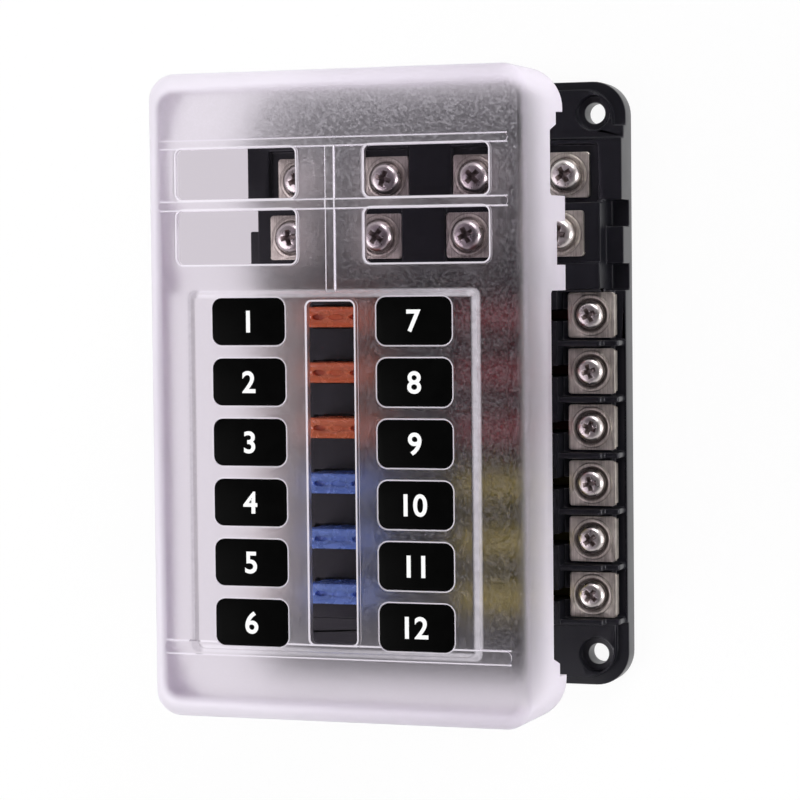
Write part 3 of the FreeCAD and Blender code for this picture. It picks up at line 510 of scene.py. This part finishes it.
frost = shade.node("BsdfPrincipled", {}, {
    "Base Color": (0.735, 0.68, 0.752, 1),
    "Roughness": 0.38,
    "IOR": 1.25,
    "Transmission Weight": 1.0,
})
# Painted shade: the panel's left slope turns darker grey.
left_slope_shade = shade.maths("MULTIPLY_ADD", x, -1.0, -32.5, clamp=True)
left_slope_shade = left_slope_shade * shade.maths("LESS_THAN", panel_slope, 1.5)
milky = shade.node("BsdfPrincipled", {}, {
    "Base Color": between(shade, left_slope_shade, (0.94, 0.89, 0.975, 1), (0.42, 0.38, 0.44, 1)),
    "Roughness": 0.5,
    "IOR": 1.46,
    "Transmission Weight": 0.2,
})
polish = shade.node("BsdfPrincipled", {}, {
    "Base Color": (0.652, 0.602, 0.662, 1),
    "Roughness": 0.02,
    "IOR": 1.25,
    "Transmission Weight": 1.0,
})
body = shade.node("MixShader", {}, {0: clear, 1: frost, 2: polish})
surface = shade.node("MixShader", {}, {0: shade.maths("MAXIMUM", white, skirt_light), 1: body, 2: milky})
shade.node("OutputMaterial", {}, {"Surface": surface})

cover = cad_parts["cover"]
cover.data.materials.clear()
cover.data.materials.append(frosted)


# Labels
# Black printed plates with rounded corners, set in shallow recesses of the panel. Each carries
# the plain white number of its circuit.

LABEL_TOP = 85.50
LABEL_EDGE = 0.12 * MM
FIGURE_SIZE = 7.0 * MM
FIGURE_WEIGHT = 0.14 * MM
INK = 0.012 * MM
INK_GAP = 0.002 * MM

label_black, shade = new_material("label_black")
cloud = cloudy(shade, 300.0, 3.0)
covered_by(shade, {
    "Base Color": between(shade, cloud, (0.0008, 0.0008, 0.0008, 1), (0.002, 0.002, 0.002, 1)),
    "Roughness": 0.36 + cloud * 0.1,
    "Specular IOR Level": 0.02,
})

label_white, shade = new_material("label_white")
covered_by(shade, {
    "Base Color": between(shade, cloudy(shade, 400.0, 2.0), (0.86, 0.86, 0.86, 1), (0.93, 0.93, 0.93, 1)),
    "Roughness": 0.45,
})


def label_plate(node, x, y):
    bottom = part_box(node)[0].z
    bpy.ops.object.select_all(action="DESELECT")
    bpy.ops.mesh.primitive_plane_add(size=1, location=(x * MM, y * MM, bottom))
    plate = bpy.context.object
    plate.name = node + "_plate"
    plate.scale = (LABEL_WIDTH * MM, LABEL_HEIGHT * MM, 1)
    bpy.ops.object.transform_apply(location=True, rotation=True, scale=True)
    bpy.ops.object.mode_set(mode="EDIT")
    bpy.ops.mesh.bevel(offset=LABEL_CORNER * MM, segments=8, affect="VERTICES")
    bpy.ops.mesh.extrude_region_move(TRANSFORM_OT_translate={"value": (0, 0, LABEL_TOP * MM - bottom)})
    bpy.ops.mesh.select_all(action="SELECT")
    bpy.ops.mesh.normals_make_consistent(inside=False)
    pick_faces(plate, lambda centre, normal: normal.z > 0.9)
    bpy.ops.mesh.bevel(offset=LABEL_EDGE, segments=2, affect="EDGES")
    bpy.ops.object.mode_set(mode="OBJECT")
    bpy.ops.object.shade_smooth_by_angle(angle=math.radians(35))
    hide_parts(node)
    finish_piece(plate, label_black, "cover")


def label_figure(node, number, x, y):
    bpy.ops.object.select_all(action="DESELECT")
    bpy.ops.object.text_add(location=(0, 0, 0))
    figure = bpy.context.object
    figure.name = node + "_number"
    figure.data.body = str(number)
    figure.data.align_x, figure.data.align_y = "CENTER", "CENTER"
    figure.data.size = FIGURE_SIZE
    figure.data.offset = FIGURE_WEIGHT
    figure.data.extrude = INK
    bpy.ops.object.convert(target="MESH")
    corners = [vertex.co for vertex in figure.data.vertices]
    middle = [(min(c[i] for c in corners) + max(c[i] for c in corners)) / 2 for i in range(2)]
    figure.data.transform(Matrix.Translation((x * MM - middle[0], y * MM - middle[1],
                                              LABEL_TOP * MM + INK + INK_GAP)))
    finish_piece(figure, label_white, "cover")


for number, (x, y) in enumerate(circuit_places, 1):
    node = "label_%02d" % number
    label_plate(node, math.copysign(FUSE_X, x), y)
    label_figure(node, number, math.copysign(FUSE_X, x), y)


# Stage
# A plain white table under the block, soft studio lamps above it, and the camera where the
# photograph was taken from.

TABLE_GAP = 0.4 * MM
LAMP_TARGET = Vector((0, 0, 0.04))
CAMERA_AT = Vector((221.3, 27.73, 685.6)) * MM
CAMERA_TARGET = Vector((-12.37, -4.4, 0)) * MM
CAMERA_ROLL = math.radians(-0.59)
CAMERA_LENS = 125.53
WORLD_LIGHT = 0.36
THROUGH_COVER = 0.15     # how much of the white table the cover shows by itself

floor_white, shade = new_material("floor_white")
ray = shade.node("LightPath")
seen = shade.maths("MAXIMUM", ray.also("Is Camera Ray"),
                   shade.maths("MAXIMUM", ray.also("Is Glossy Ray"),
                               ray.also("Is Transmission Ray") * THROUGH_COVER))
paint = shade.node("BsdfDiffuse", {}, {"Color": (0.92, 0.92, 0.92, 1)})
glow = shade.node("Emission", {}, {"Color": (1, 1, 1, 1), "Strength": 1.0})
surface = shade.node("MixShader", {}, {0: seen * 0.93, 1: paint, 2: glow})
shade.node("OutputMaterial", {}, {"Surface": surface})

bpy.ops.object.select_all(action="DESELECT")
bpy.ops.mesh.primitive_plane_add(size=6, location=(0, 0, -TABLE_GAP))
floor = bpy.context.object
floor.name = "floor"
floor.data.materials.append(floor_white)

world = bpy.data.worlds.new("studio")
bpy.context.scene.world = world
world.use_nodes = True
world.node_tree.nodes.clear()
shade = Shade(world.node_tree)
ray = shade.node("LightPath")
seen = shade.maths("MAXIMUM", ray.also("Is Camera Ray"),
                   shade.maths("MAXIMUM", ray.also("Is Glossy Ray"), ray.also("Is Transmission Ray")))
height = abs(shade.node("SeparateXYZ", {}, {"Vector": shade.node("TexCoord")}).also("Z"))
bright = shade.maths("MULTIPLY_ADD", height, -1.25, 1.32, clamp=True)
sky = shade.node("Background", {}, {"Color": (1, 1, 1, 1),
                                    "Strength": WORLD_LIGHT + seen * (bright - WORLD_LIGHT)})
shade.node("OutputWorld", {}, {"Surface": sky})

for name, at, size, power in (("key", (0.4, 1.05, 0.75), 0.7, 9.0),
                              ("fill", (-0.75, -0.35, 0.85), 0.8, 8.0),
                              ("side", (1.1, -0.1, 0.33), 0.35, 7.5)):
    lamp = bpy.data.lights.new(name, "AREA")
    lamp.size, lamp.energy = size, power
    holder = bpy.data.objects.new(name, lamp)
    bpy.context.scene.collection.objects.link(holder)
    holder.location = at
    holder.rotation_euler = (LAMP_TARGET - Vector(at)).to_track_quat("-Z", "Y").to_euler()

camera = bpy.data.objects.new("camera", bpy.data.cameras.new("camera"))
bpy.context.scene.collection.objects.link(camera)
ahead = (CAMERA_TARGET - CAMERA_AT).normalized()
right = ahead.cross(Vector((0, 1, 0))).normalized()
up = right.cross(ahead)
right, up = (right * math.cos(CAMERA_ROLL) + up * math.sin(CAMERA_ROLL),
             up * math.cos(CAMERA_ROLL) - right * math.sin(CAMERA_ROLL))
camera.matrix_world = Matrix.Translation(CAMERA_AT) @ Matrix((right, up, -ahead)).transposed().to_4x4()
camera.data.sensor_width = 36.0
camera.data.lens = CAMERA_LENS
bpy.context.scene.camera = camera

bpy.context.scene.view_settings.view_transform = "Standard"
